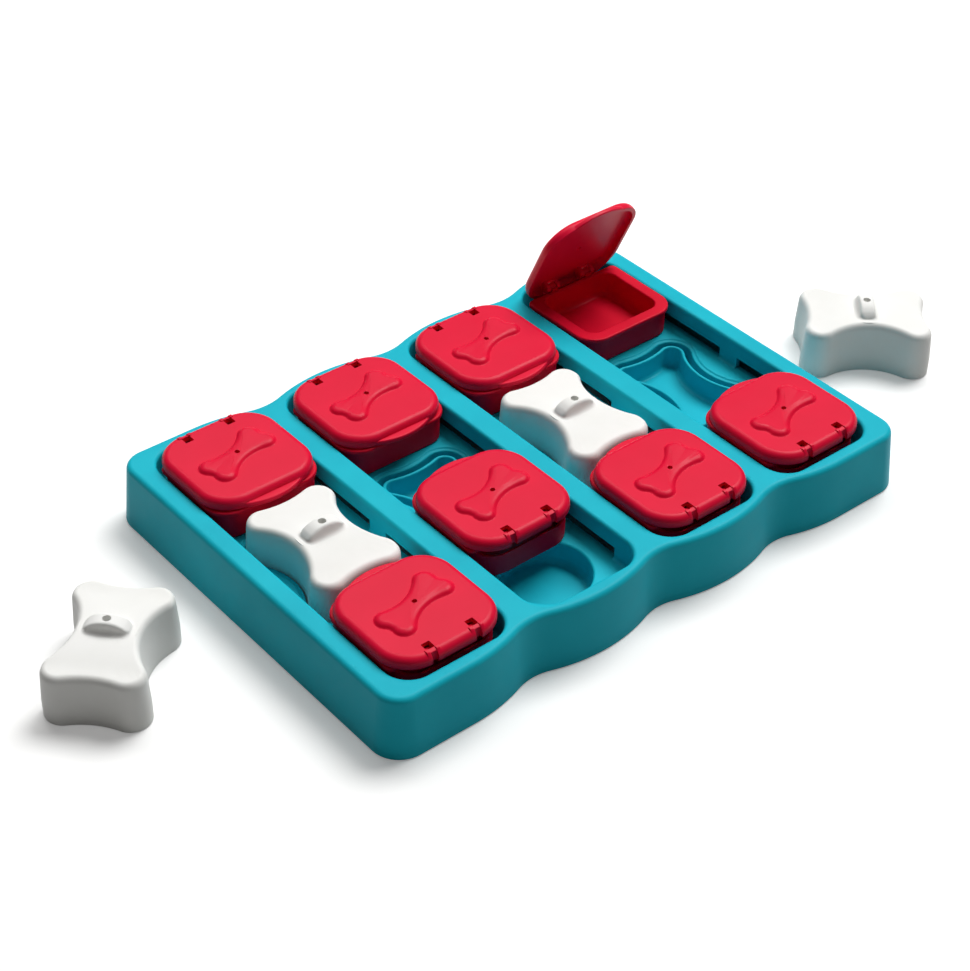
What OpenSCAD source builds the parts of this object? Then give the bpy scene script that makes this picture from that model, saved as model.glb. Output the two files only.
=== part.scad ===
// Dog puzzle feeder: a four-lane board, eight sliding treat boxes with hinged
// lids and four bone-shaped lift-off covers.
// Lengths are millimetres. X runs across the lanes, +Y points to the rear row,
// Z is up, and the board stands on Z = 0 with its centre at the origin.

/* [Board] */
// clear width of one sliding lane
lane_w = 63.2; // [61:0.2:68]
// width of the rib between two lanes
rib_w = 14.1; // [13:0.1:20]
// deck left of the first lane and right of the last
side_rim = 11.7; // [9:0.1:16]
// deck beyond a lane's end, at the crest of its bulge
end_rim = 8.2; // [7.4:0.1:12]
// depth of the scallop between two bulges
scallop_depth = 6.5; // [3:0.1:7]
// radius of that scallop
scallop_r = 28; // [18:0.5:34]
// plan radius of the board's corners
board_corner_r = 15; // [12:0.5:20]
// how far the skirt flares out between deck and foot
skirt_draft = 2.7; // [1:0.1:4]
// rounding of the deck's outer edge
deck_round = 3; // [2.9:0.1:3.6]
// height of the deck above the table
deck_z = 33.2; // [31:0.1:38]
// height of the lane floor above the table
floor_z = 17.8; // [16.5:0.1:19]
// wall thickness of skirt and deck
board_wall = 2.6; // [2:0.1:2.8]
// wall thickness of channels, wells and seats
tray_wall = 2.4; // [1.8:0.1:2.6]

/* [Wells and seats] */
// radius of the round treat well under each box
well_r = 22.3; // [18:0.1:23]
// depth of the treat wells below the lane floor
well_depth = 12.3; // [8:0.1:12.8]
// depth of the groove that a cover stands in
groove_depth = 9.2; // [6:0.1:10]
// gap between a cover and the outside of its groove
groove_gap = 0.9; // [0.5:0.1:1.4]
// thickness of the rim that fills the cover's mouth
seat_rim_t = 1.8; // [1.2:0.1:2.4]
// width of the soft edge round a seat
seat_round = 2.5; // [1:0.1:3]

/* [Slots] */
// height of the guide slots in the lane walls
slot_h = 6.2; // [4:0.1:7]
// length of solid wall between a lane's front and rear slots
bridge_l = 12.6; // [8:0.1:18]

/* [Boxes] */
// from a box's centre to the front of its cup
box_front = 30; // [29:0.1:32]
// from a box's centre to the tail of its lid
box_tail = 30.9; // [30.6:0.1:33]
// from a box's centre to the rear wall of its cup
cup_tail = 28.8; // [28.4:0.1:29.4]
// play of the cup in its lane, each side
cup_play = 0.7; // [0.5:0.1:1.2]
// width of the flange round the cup
flange_w = 6.8; // [6:0.1:9]
// thickness of that flange
flange_t = 2.5; // [1.8:0.1:3.5]
// plan radius of the cup's front corners
box_corner_r = 12.4; // [9:0.1:14]
// plan radius of the cup's rear corners
cup_rear_r = 15.5; // [13:0.1:17]
// step from the flange in to the cup's skirt
skirt_step = 1.3; // [0.8:0.1:2]
// wall thickness of the cup
cup_wall = 1.9; // [1.4:0.1:2.4]
// length of each guide tab
tab_l = 8; // [5:0.1:10]
// height of each guide tab
tab_h = 3.2; // [2.4:0.1:3.6]

/* [Lids] */
// thickness of the lid from rim to top
lid_t = 5.8; // [5.2:0.1:7]
// plan radius of the lid's corners
lid_corner_r = 17.5; // [17:0.1:20]
// thickness of the lid's plate and rim
lid_wall = 2.3; // [1.8:0.1:2.6]
// rounding of the lid's top edge
lid_round = 3.8; // [2:0.1:4]
// how far the lift lip stands out
nose_out = 4.2; // [2:0.1:4.6]
// width of the lift lip
nose_w = 44; // [36:0.5:46]
// thickness of the lift lip
nose_t = 2.6; // [1.8:0.1:3]
// length of the moulding windows over the hinge posts
window_l = 4.4; // [3:0.1:5]
// height of the bone on the lid
relief_h = 1.8; // [0.8:0.1:2.2]
// length of the bone on the lid
relief_l = 42; // [36:0.5:44]
// turn of the bone from across the lane
relief_turn = 20; // [0:1:45]
// diameter of the scent hole in each lid
scent_d = 2.6; // [2:0.1:5]

/* [Hinges] */
// from a box's centre back to the hinge axis
hinge_back = 24.2; // [23.8:0.1:24.6]
// distance of each hinge post from the lane's middle
hinge_x = 12.1; // [11:0.1:14]
// diameter of the hinge pins
pin_d = 2.6; // [2.2:0.1:2.8]
// radial clearance of a pin in its lug
pin_fit = 0.08; // [0.03:0.01:0.1]
// width of a hinge post
post_w = 4; // [3:0.1:5]
// width of a lid lug
lug_w = 2.2; // [1.6:0.1:2.6]

/* [Covers] */
// length of a bone cover
cover_l = 69.6; // [66:0.2:75]
// width of a bone cover
cover_w = 49.5; // [48:0.5:54]
// width at its waist
cover_waist = 32.6; // [28:0.2:38]
// depth of the dip in each end
dip_depth = 2.3; // [1.8:0.1:4]
// radius of its lobes
lobe_r = 9.6; // [8:0.1:10]
// height at the lobes
lobe_h = 27.2; // [24:0.1:28]
// height at the waist
waist_h = 29; // [27:0.1:31]
// height at the crest of the grip
grip_h = 34.6; // [33:0.1:37]
// length of the grip across the waist
grip_l = 22; // [18:0.5:25]
// thickness of the grip
grip_t = 8; // [6:0.1:10]
// wall of the cover
cover_wall = 2.2; // [1.6:0.1:2.6]
// rounding of the cover's top edge
cover_round = 5; // [4:0.1:6]
// diameter of the hole in the grip
grip_hole = 4; // [3:0.1:5]

/* [Stance] */
// opening angle of the raised lid
open_angle = 65.4; // [0:0.2:100]
// how far box 2b is slid towards the middle
slid = 39.5; // [0:0.1:39.5]
// from the board's left side to the middle of the loose cover there
loose_left = 62; // [58:1:90]
// how far that cover lies to the rear of the middle
loose_left_y = 13; // [-60:1:60]
// its turn
loose_left_turn = -47; // [-90:1:90]
// from the board's right side to the middle of the loose cover there
loose_right = 68; // [58:1:90]
// how far that cover lies to the rear of the middle
loose_right_y = -21; // [-60:1:60]
// its turn
loose_right_turn = 50; // [-90:1:90]

/* [Hidden] */
$fn = 64;
rest = 0.3;
lanes = 4;
pitch = lane_w + rib_w;
cut = 1;

seat_gap = 4.3;
tail_gap = 1.8;
home_y = cover_l / 2 + seat_gap + box_front;
lane_half = home_y + box_tail + tail_gap;
lane_corner = box_corner_r + 0.6;
board_half_x = (lanes * pitch - rib_w) / 2 + side_rim + skirt_draft;
board_half_y = lane_half + end_rim + skirt_draft;

well_z = floor_z - well_depth;
tray_z = floor_z - tray_wall;
base_z = well_z - tray_wall;
wall_top = deck_z - board_wall;

cup_hw = lane_w / 2 - cup_play;
cup_z = floor_z + rest;
cup_top = deck_z + 0.9;
tab_reach = tray_wall + cup_play - 0.2;
tab_z = floor_z + 0.8;
tab_front = box_front - 14;
tab_back = hinge_back - 12;
slot_in = bridge_l / 2;
slot_out = home_y + tab_back + rest;
flange_back = hinge_back - 2.4;

lid_hw = lane_w / 2 - rest;
lid_z = cup_top + 0.4;
lid_top = lid_z + lid_t;
bore_r = pin_d / 2 + pin_fit;
lug_r = bore_r + 1.35;
post_r = pin_d / 2 + 0.9;
axis_z = lid_top - lid_wall - post_r - 0.4;
lug_gap = 0.3;
// reach of the lid's tail round the hinge axis, with its clearance
swing_r = 0.3 + max([
  norm([box_tail - hinge_back, axis_z - lid_z]),
  for (a = [0 : 10 : 90])
    norm([box_tail - hinge_back - lid_round * (1 - cos(a)), lid_top - lid_round * (1 - sin(a)) - axis_z])
]);
notch_y = hinge_back - lug_r - 0.5;
cavity_back = notch_y - cup_wall;
cavity_hw = cup_hw - flange_w;
cavity_r = 6.5;
notch_hw = hinge_x + post_w / 2 + lug_gap + lug_w + 1.2;
window_w = post_w + 2 * lug_gap;
window_back = hinge_back + window_l / 2 + 0.6;

cover_z = floor_z - groove_depth + rest;
cover_dip = cover_l - 2 * dip_depth;
rim_out = cover_wall + 0.6;

// ---------- general forms ----------

// solid between closed rings of points, lowest ring first; a tip point closes
// the top as a fan, and without one the last ring is closed flat; the sides are
// split in triangles only where a form needs it
module skin(rings, tip = undef) {
  n = len(rings[0]);
  m = len(rings);
  flat_points = [for (ring = rings) for (p = ring) p];
  points = is_undef(tip) ? flat_points : concat(flat_points, [tip]);
  sides = [
    for (k = [0 : m - 2]) for (i = [0 : n - 1])
      let (a = k * n + i, b = k * n + (i + 1) % n)
        each is_undef(tip) ? [[a, a + n, b + n, b]] : [[a, a + n, b + n], [a, b + n, b]]
  ];
  floor_face = [[for (i = [0 : n - 1]) i]];
  top_face = is_undef(tip)
    ? [[for (i = [n - 1 : -1 : 0]) (m - 1) * n + i]]
    : [for (i = [0 : n - 1]) [m * n, (m - 1) * n + (i + 1) % n, (m - 1) * n + i]];
  polyhedron(points = points, faces = concat(sides, floor_face, top_face), convexity = 6);
}

function at_z(pts, z) = [for (p = pts) [p[0], p[1], z]];

function arc_pts(cx, cy, r, a0, a1, n) =
  [for (i = [0 : n]) let (a = a0 + (a1 - a0) * i / n) [cx + r * cos(a), cy + r * sin(a)]];

// rounded rectangle as points, symmetric about both axes
function round_rect_pts(hx, hy, r, n) = concat(
  arc_pts(hx - r, hy - r, r, 0, 90, n),
  arc_pts(r - hx, hy - r, r, 90, 180, n),
  arc_pts(r - hx, r - hy, r, 180, 270, n),
  arc_pts(hx - r, r - hy, r, 270, 360, n));

// rounded rectangle with true arcs; the back corners may have their own radius
module round_rect(hx, y0, y1, rf, rb) {
  translate([-hx, y0 + rb]) square([2 * hx, y1 - y0 - rf - rb]);
  translate([rf - hx, y1 - rf - cut]) square([2 * (hx - rf), rf + cut]);
  translate([rb - hx, y0]) square([2 * (hx - rb), rb + cut]);
  for (s = [-1, 1]) {
    translate([s * (hx - rf), y1 - rf]) circle(r = rf);
    translate([s * (hx - rb), y0 + rb]) circle(r = rb);
  }
}

// ---------- bone outline ----------
// A bone is [half width, half length, waist half width, dip half length, lobe radius].
// Lobes and the four hollow sides are arcs that meet without a corner.

cover_bone = [cover_w / 2, cover_l / 2, cover_waist / 2, cover_dip / 2, lobe_r];
relief_bone = [9.6, relief_l / 2, 4.6, relief_l / 2 - 1.2, 5];

function side_r(b) =
  let (ly = b[1] - b[4], a = b[2] - b[0] + b[4])
    (a * a + ly * ly - b[4] * b[4]) / (2 * (b[4] - a));

function end_r(b) =
  let (lx = b[0] - b[4], e = b[3] - b[1] + b[4])
    (e * e + lx * lx - b[4] * b[4]) / (2 * (b[4] - e));

// one quarter of the outline, drawn in by d, from the waist round to the dip
function bone_quarter(b, d, n) =
  let (
    lx = b[0] - b[4],
    ly = b[1] - b[4],
    rs = side_r(b),
    re = end_r(b),
    cx = b[2] + rs,
    cy = b[3] + re,
    as = atan2(ly, cx - lx),
    ae = atan2(lx, cy - ly),
    side = [for (i = [0 : n]) let (t = as * i / n) [cx - (rs + d) * cos(t), (rs + d) * sin(t)]],
    lobe = [for (i = [1 : 2 * n]) let (t = -as + (90 + ae + as) * i / (2 * n))
      [lx + (b[4] - d) * cos(t), ly + (b[4] - d) * sin(t)]],
    end = [for (i = [1 : n - 1]) let (t = ae * (1 - i / (n - 1)))
      [(re + d) * sin(t), cy - (re + d) * cos(t)]]
  )
    concat(side, lobe, end);

function bone_pts(b, d, n) =
  let (q = bone_quarter(b, d, n), m = len(q))
    concat(
      [for (i = [0 : m - 1]) q[i]],
      [for (i = [m - 2 : -1 : 0]) [-q[i][0], q[i][1]]],
      [for (i = [1 : m - 1]) [-q[i][0], -q[i][1]]],
      [for (i = [m - 2 : -1 : 1]) [q[i][0], -q[i][1]]]);

module bone_area(b, d, n = 4) {
  polygon(bone_pts(b, d, n));
}

// ---------- board ----------

// rear edge of the board from right to left, drawn in by d: a broad arc behind
// each lane, a scallop between two arcs, and a straight run past the outer lanes
function rear_edge(d) =
  let (
    half = pitch / 2,
    sum = (half * half + scallop_depth * scallop_depth) / (2 * scallop_depth),
    bulge_r = sum - scallop_r,
    phi = asin(half / sum),
    bulge_y = board_half_y - bulge_r,
    scallop_y = board_half_y - scallop_depth + scallop_r
  )
    [for (k = [0 : lanes - 1])
      let (x = (lanes - 1) * half - k * pitch, from = k == 0 ? 0 : phi, to = k == lanes - 1 ? 0 : phi)
        each concat(
          arc_pts(x, bulge_y, bulge_r - d, 90 - from, 90 + to, from * to > 0 ? 8 : 4),
          k == lanes - 1 ? []
            : inner_pts(arc_pts(x - half, scallop_y, scallop_r + d, 270 + phi, 270 - phi, 6)))];

function inner_pts(pts) = [for (i = [1 : len(pts) - 2]) pts[i]];

function board_pts(d) =
  let (r = board_corner_r - d, hx = board_half_x - d, hy = board_half_y - d, rear = rear_edge(d))
    concat(
      arc_pts(hx - r, hy - r, r, 0, 90, 5),
      rear,
      arc_pts(r - hx, hy - r, r, 90, 180, 5),
      arc_pts(r - hx, r - hy, r, 180, 270, 5),
      -rear,
      arc_pts(hx - r, r - hy, r, 270, 360, 5));

module at_lane(i) {
  translate([(i - (lanes + 1) / 2) * pitch, 0, 0]) children();
}

// cutter for a lane's mouth in the deck, with a softened upper edge
module lane_mouth() {
  hx = lane_w / 2;
  soft = 1.2;
  over = soft + cut;
  skin([
    at_z(round_rect_pts(hx, lane_half, lane_corner, 6), wall_top - cut),
    at_z(round_rect_pts(hx, lane_half, lane_corner, 6), deck_z - soft),
    at_z(round_rect_pts(hx + over, lane_half + over, lane_corner + over, 6), deck_z + cut)
  ]);
}

// closed band round the board: each ring is a corner of the band's profile,
// and the last one joins the first
module band(rings) {
  n = len(rings[0]);
  m = len(rings);
  polyhedron(
    points = [for (ring = rings) for (p = ring) p],
    faces = [
      for (k = [0 : m - 1]) for (i = [0 : n - 1])
        let (a = k * n, b = ((k + 1) % m) * n, j = (i + 1) % n)
          [a + i, b + i, b + j, a + j]
    ],
    convexity = 6);
}

// skirt that flares out to the foot, with the rounded edge of the deck; it is
// drawn a little too deep and trimmed level at the foot
module board_skirt() {
  d = skirt_draft;
  f = deck_round;
  deep = d * cut / (deck_z - f);
  color([0.14, 0.70, 0.78]) difference() {
    band([
      at_z(board_pts(d + f), wall_top),
      at_z(board_pts(board_wall + d), wall_top),
      at_z(board_pts(board_wall - deep), -cut),
      at_z(board_pts(-deep), -cut),
      at_z(board_pts(d), deck_z - f),
      at_z(board_pts(d + f * (1 - cos(30))), deck_z - f * (1 - sin(30))),
      at_z(board_pts(d + f * (1 - cos(60))), deck_z - f * (1 - sin(60))),
      at_z(board_pts(d + f), deck_z)
    ]);
    translate([-board_half_x - cut, -board_half_y - cut, -2 * cut])
      cube([2 * (board_half_x + cut), 2 * (board_half_y + cut), 2 * cut]);
  }
}

// deck plate round one half of a lane's mouth
module deck_part(i, rear) {
  x0 = i == 1 ? -board_half_x : (i - 1 - lanes / 2) * pitch;
  x1 = i == lanes ? board_half_x : (i - lanes / 2) * pitch;
  color([0.14, 0.70, 0.78]) difference() {
    translate([0, 0, wall_top]) linear_extrude(board_wall) intersection() {
      polygon(board_pts(skirt_draft + deck_round));
      translate([x0, rear ? 0 : -board_half_y]) square([x1 - x0, board_half_y]);
    }
    at_lane(i) lane_mouth();
  }
}

module lane_area(grow) {
  round_rect(lane_w / 2 + grow, -lane_half - grow, lane_half + grow,
    lane_corner + grow, lane_corner + grow);
}

// wall round a lane, from its floor up to the deck
module lane_channel() {
  color([0.12, 0.66, 0.74]) difference() {
    translate([0, 0, floor_z]) linear_extrude(wall_top - floor_z) lane_area(tray_wall);
    translate([0, 0, floor_z - cut]) linear_extrude(wall_top) lane_area(0);
    // guide slots, two on each side
    for (sx = [-1, 1]) for (sy = [-1, 1])
      translate([
        sx * (lane_w / 2 + tray_wall / 2) - tray_wall / 2 - cut,
        sy > 0 ? slot_in : -slot_out,
        floor_z
      ])
        cube([tray_wall + 2 * cut, slot_out - slot_in, slot_h]);
  }
}

module lane_floor() {
  color([0.12, 0.66, 0.74]) difference() {
    translate([0, 0, tray_z]) linear_extrude(tray_wall) lane_area(tray_wall);
    // mouths of the round wells
    for (sy = [-1, 1]) translate([0, sy * home_y, 0]) {
      translate([0, 0, tray_z - cut]) cylinder(r = well_r, h = tray_wall + 2 * cut);
      translate([0, 0, floor_z - 1]) cylinder(r1 = well_r, r2 = well_r + 1.1, h = 1.1);
    }
    // mouth of the cover seat, with a soft edge
    skin([
      at_z(bone_pts(cover_bone, -groove_gap, 3), tray_z - cut),
      at_z(bone_pts(cover_bone, -groove_gap, 3), tray_z + 0.2),
      at_z(bone_pts(cover_bone, -groove_gap - 0.3 * seat_round, 3), floor_z - 0.8),
      at_z(bone_pts(cover_bone, -groove_gap - seat_round, 3), floor_z + 0.1),
    ]);
  }
}

module end_well() {
  color([0.10, 0.60, 0.68]) difference() {
    translate([0, 0, base_z]) cylinder(r = well_r + tray_wall - 0.4, h = tray_z - base_z);
    translate([0, 0, well_z]) cylinder(r = well_r, h = well_depth);
  }
}

// pocket for a cover, with the groove for the cover's wall and the well within
module cover_seat() {
  color([0.10, 0.60, 0.68]) difference() {
    translate([0, 0, base_z]) linear_extrude(tray_z - base_z)
      bone_area(cover_bone, -groove_gap - tray_wall + 0.4);
    translate([0, 0, floor_z - groove_depth]) linear_extrude(groove_depth)
      bone_area(cover_bone, -groove_gap);
    translate([0, 0, well_z]) linear_extrude(floor_z)
      bone_area(cover_bone, rim_out + seat_rim_t);
  }
}

// rim between groove and well, which fills the cover's mouth
module seat_rim() {
  color([0.10, 0.60, 0.68]) translate([0, 0, floor_z - groove_depth])
    linear_extrude(groove_depth - 0.4) difference() {
      bone_area(cover_bone, rim_out);
      bone_area(cover_bone, rim_out + seat_rim_t);
    }
}

// ---------- boxes ----------
// Drawn with the box's centre at X = Y = 0 and the lift nose towards +Y.

module flange_area() {
  round_rect(cup_hw, -flange_back, box_front, box_corner_r, 3);
}

module skirt_area(inset) {
  in = skirt_step + inset;
  round_rect(cup_hw - in, inset - cup_tail, box_front - in, box_corner_r - in, cup_rear_r - inset);
}

// room that the lid's tail needs when it swings down, wide in the middle and
// narrower towards the lid's round corners
module swing_room() {
  straight = lid_hw - lid_corner_r + 3.2;
  intersection() {
    translate([0, -hinge_back, axis_z]) for (s = [-1, 1]) rotate([0, 90 * s, 0]) {
      translate([0, 0, -0.1]) cylinder(r = swing_r, h = straight + 0.1);
      translate([0, 0, straight]) cylinder(r1 = swing_r, r2 = swing_r - 2.8, h = 11);
    }
    translate([-cup_hw, -2 * box_tail, 0]) cube([2 * cup_hw, 2 * box_tail - flange_back + 0.3, 3 * cup_top]);
  }
}

module hinge_posts() {
  for (s = [-1, 1]) translate([s * hinge_x, 0, 0]) {
    translate([-post_w / 2, -hinge_back, axis_z]) rotate([0, 90, 0])
      cylinder(r = post_r, h = post_w);
    translate([-post_w / 2, -hinge_back, axis_z - post_r])
      cube([post_w, hinge_back - notch_y + 0.5, post_r]);
    translate([-post_w / 2 - lug_gap - lug_w, -hinge_back, axis_z]) rotate([0, 90, 0])
      cylinder(d = pin_d, h = post_w + 2 * (lug_gap + lug_w));
  }
}

module box_cup() {
  color([0.86, 0.10, 0.22]) {
    difference() {
      union() {
        translate([0, 0, cup_top - flange_t]) linear_extrude(flange_t) flange_area();
        difference() {
          translate([0, 0, cup_z]) linear_extrude(cup_top - 0.2 - cup_z) skirt_area(0);
          swing_room();
        }
      }
      // treat compartment
      translate([0, 0, cup_z + cup_wall]) linear_extrude(cup_top)
        round_rect(cavity_hw, -cavity_back, box_front - flange_w, cavity_r, cavity_r);
      // hollow between compartment and skirt
      translate([0, 0, cup_z - cut]) linear_extrude(cup_top - flange_t - cup_z + cut) difference() {
        skirt_area(cup_wall);
        round_rect(cavity_hw + cup_wall, -notch_y, box_front - flange_w + cup_wall,
          cavity_r + cup_wall, cavity_r);
      }
      // open top behind the flange and at the lid's lugs
      translate([0, 0, cup_z - cut]) linear_extrude(cup_top) intersection() {
        skirt_area(cup_wall);
        union() {
          translate([-cup_hw, -2 * box_tail]) square([2 * cup_hw, 2 * box_tail - flange_back]);
          translate([-notch_hw, -2 * box_tail]) square([2 * notch_hw, 2 * box_tail - notch_y]);
        }
      }
    }
    hinge_posts();
    // guide tabs
    for (s = [-1, 1]) for (y = [-tab_back, tab_front - tab_l])
      translate([
        s > 0 ? cup_hw - skirt_step - 0.5 : -(cup_hw + tab_reach),
        y,
        tab_z
      ])
        cube([tab_reach + skirt_step + 0.5, tab_l, tab_h]);
  }
}

function lid_pts(d) =
  let (r = lid_corner_r - d, hx = lid_hw - d, yf = box_front - d, yb = d - box_tail)
    concat(
      arc_pts(hx - r, yf - r, r, 0, 90, 6),
      arc_pts(r - hx, yf - r, r, 90, 180, 6),
      arc_pts(r - hx, yb + r, r, 180, 270, 6),
      arc_pts(hx - r, yb + r, r, 270, 360, 6));

// low lip that a nose or claw lifts the lid by
module lift_lip() {
  reach = nose_out + 4;
  r = (nose_w * nose_w / 4 + reach * reach) / (2 * reach);
  translate([0, 0, lid_z]) linear_extrude(nose_t) difference() {
    intersection() {
      translate([0, box_front + nose_out - r]) circle(r = r, $fn = 96);
      translate([-nose_w / 2, box_front - 4]) square([nose_w, reach]);
    }
    polygon(lid_pts(lid_wall / 2));
  }
}

module lid_lugs() {
  for (s = [-1, 1]) for (t = [-1, 1])
    translate([
      s * hinge_x + t * (post_w / 2 + lug_gap + lug_w / 2) - lug_w / 2,
      -hinge_back,
      axis_z
    ])
      difference() {
        union() {
          rotate([0, 90, 0]) cylinder(r = lug_r, h = lug_w);
          translate([0, -lug_r, 0]) cube([lug_w, 2 * lug_r, lid_top - lid_wall + 0.5 - axis_z]);
        }
        translate([-cut, 0, 0]) rotate([0, 90, 0]) cylinder(r = bore_r, h = lug_w + 2 * cut);
      }
}

module box_lid() {
  f = lid_round;
  inner = lid_top - lid_wall;
  color([0.90, 0.12, 0.25]) {
    difference() {
      union() {
        skin([
          at_z(lid_pts(0), lid_z),
          at_z(lid_pts(0), lid_top - f),
          at_z(lid_pts(f * (1 - cos(30))), lid_top - f * (1 - sin(30))),
          at_z(lid_pts(f * (1 - cos(60))), lid_top - f * (1 - sin(60))),
          at_z(lid_pts(f), lid_top),
        ]);
        lift_lip();
        rotate([0, 0, relief_turn - 90]) skin([
          at_z(bone_pts(relief_bone, 0, 2), lid_top - 0.5),
          at_z(bone_pts(relief_bone, 0.2, 2), lid_top + 0.6 * relief_h),
          at_z(bone_pts(relief_bone, 1, 2), lid_top + relief_h),
        ]);
      }
      skin([
        at_z(lid_pts(lid_wall), lid_z - cut),
        at_z(lid_pts(lid_wall), inner - 1.6),
        at_z(lid_pts(lid_wall + 2), inner),
      ]);
      translate([0, 0, lid_z]) cylinder(d = scent_d, h = lid_t + relief_h + cut);
      // moulding windows over the hinge posts
      for (s = [-1, 1])
        translate([s * hinge_x - window_w / 2, -window_back, lid_z])
          cube([window_w, window_l, lid_t + cut]);
    }
    difference() {
      lid_lugs();
      for (s = [-1, 1])
        translate([s * hinge_x - window_w / 2, -window_back, inner])
          cube([window_w, window_l, lid_t + cut]);
    }
  }
}

module raised_lid(angle) {
  translate([0, -hinge_back, axis_z]) rotate([angle, 0, 0])
    translate([0, hinge_back, -axis_z]) box_lid();
}

// row a stands at the rear with its nose to the front, row b the other way round
module at_box(i, rear, shift) {
  at_lane(i) translate([0, rear ? home_y - shift : shift - home_y, 0])
    rotate([0, 0, rear ? 180 : 0]) children();
}

// ---------- covers ----------

function cover_top(p, h) = h - (waist_h - lobe_h) * min(1, pow(p[1] / (cover_l / 2 - lobe_r), 2));

function cover_ring(d, drop, shrink = 1) =
  [for (p = bone_pts(cover_bone, d, 3) * shrink) [p[0], p[1], cover_top(p, waist_h) - drop]];

module cover_body() {
  f = cover_round;
  skin([
    at_z(bone_pts(cover_bone, 0, 3), 0),
    cover_ring(0, f),
    cover_ring(f * (1 - cos(30)), f * (1 - sin(30))),
    cover_ring(f * (1 - cos(60)), f * (1 - sin(60))),
    cover_ring(f, 0),
    cover_ring(f, 0, 0.5),
  ], tip = [0, 0, waist_h]);
}

// arched grip across the waist
module cover_grip() {
  rise = grip_h - waist_h + 2;
  top_r = (pow(grip_l / 2, 2) + rise * rise) / (2 * rise);
  color([0.96, 0.96, 0.95]) difference() {
    translate([0, grip_t / 2, grip_h - top_r]) rotate([90, 0, 0])
      cylinder(r = top_r, h = grip_t);
    cover_body();
    translate([-cover_w, -cover_w, -2 * grip_h]) cube([2 * cover_w, 2 * cover_w, 2 * grip_h + lobe_h]);
    cylinder(d = grip_hole, h = 2 * grip_h);
  }
}

module bone_cover() {
  f = cover_round;
  w = cover_wall;
  color([0.96, 0.96, 0.95]) difference() {
    cover_body();
    skin([
      at_z(bone_pts(cover_bone, w, 3), -cut),
      cover_ring(w, f + 0.6),
      cover_ring(w + 0.3 * (f - w), w + 0.8),
      cover_ring(f, w),
    ], tip = [0, 0, waist_h - w]);
    translate([0, 0, lobe_h - f]) cylinder(d = grip_hole, h = grip_h);
  }
}

// ---------- nodes ----------

board_skirt();

for (i = [1 : lanes]) {
  deck_part(i, true);
  deck_part(i, false);
  at_lane(i) lane_channel();
  at_lane(i) lane_floor();
  at_lane(i) translate([0, home_y, 0]) end_well();
  at_lane(i) translate([0, -home_y, 0]) end_well();
  at_lane(i) cover_seat();
  at_lane(i) seat_rim();
  at_box(i, true, 0) box_cup();
  at_box(i, false, i == 2 ? slid : 0) box_cup();
  at_box(i, true, 0) raised_lid(i == 4 ? open_angle : 0);
  at_box(i, false, i == 2 ? slid : 0) raised_lid(0);
}

// covers 1 and 3 stand in their seats, covers 2 and 4 are taken off
module at_cover(i) {
  if (i == 2)
    translate([-board_half_x - loose_left, loose_left_y, 0]) rotate([0, 0, loose_left_turn]) children();
  else if (i == 4)
    translate([board_half_x + loose_right, loose_right_y, 0]) rotate([0, 0, loose_right_turn]) children();
  else
    at_lane(i) translate([0, 0, cover_z]) children();
}

for (i = [1 : lanes]) {
  at_cover(i) bone_cover();
  at_cover(i) cover_grip();
}
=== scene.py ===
"""Looks for the dog puzzle feeder: every moulding is rebuilt here as a smooth form
in the place of its CAD nodes, in millimetres, and scaled to metres at the end."""
import math

import bmesh
import bpy
from mathutils import Matrix, Vector


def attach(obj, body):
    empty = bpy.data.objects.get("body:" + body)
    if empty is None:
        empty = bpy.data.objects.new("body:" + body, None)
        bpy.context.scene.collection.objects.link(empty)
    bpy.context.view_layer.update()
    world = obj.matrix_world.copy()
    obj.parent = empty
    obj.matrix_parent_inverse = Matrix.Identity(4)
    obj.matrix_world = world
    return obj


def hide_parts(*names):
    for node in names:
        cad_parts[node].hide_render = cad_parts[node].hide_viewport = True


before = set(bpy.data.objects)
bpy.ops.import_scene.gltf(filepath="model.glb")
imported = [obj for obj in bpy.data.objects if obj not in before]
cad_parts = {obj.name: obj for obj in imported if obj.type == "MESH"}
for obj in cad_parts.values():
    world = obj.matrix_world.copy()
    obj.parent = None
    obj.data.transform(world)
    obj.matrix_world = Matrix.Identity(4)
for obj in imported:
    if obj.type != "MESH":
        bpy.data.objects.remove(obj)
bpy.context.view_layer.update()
MM = 0.001

# ---------- sizes in millimetres ----------
# They are the CAD's, except that the covers' edge is crisper and the lids' bone fuller here.
# board: lanes, ribs, rims and outline
LANES = 4
LANE_W, RIB_W, SIDE_RIM, END_RIM = 63.2, 14.1, 11.7, 8.2
SCALLOP_DEPTH, SCALLOP_R, CORNER_R, DRAFT, DECK_ROUND = 6.5, 28.0, 15.0, 2.7, 3.0
# board: deck, lane floor, walls and the rounding of their edges
DECK_Z, FLOOR_Z, BOARD_WALL, TRAY_WALL = 33.2, 17.8, 2.6, 2.4
MOUTH_ROUND, LANE_FILLET, WELL_ROUND, WELL_FILLET, SEAT_FILLET = 1.9, 1.7, 1.4, 3.2, 2.2
# wells, cover seats and guide slots
WELL_R, WELL_DEPTH, GROOVE_DEPTH, GROOVE_GAP, RIM_T = 22.3, 12.3, 9.2, 0.9, 1.8
SLOT_H, BRIDGE_L, SLOT_ROOM, SLOT_CUT = 6.2, 12.6, 0.3, 3.4
# boxes: front and rear reach, flange, corners, walls and guide tabs
FRONT, TAIL, CUP_TAIL, PLAY, FLANGE_W, FLANGE_T = 30.0, 30.9, 28.8, 0.7, 6.8, 2.5
BOX_R, REAR_R, STEP, CUP_WALL, CAVITY_R = 12.4, 15.5, 1.3, 1.9, 6.5
TAB_L, TAB_H, TAB_LIFT, TAB_ROOM, TAB_ROOT = 8.0, 3.2, 0.8, 0.2, 0.5
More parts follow.
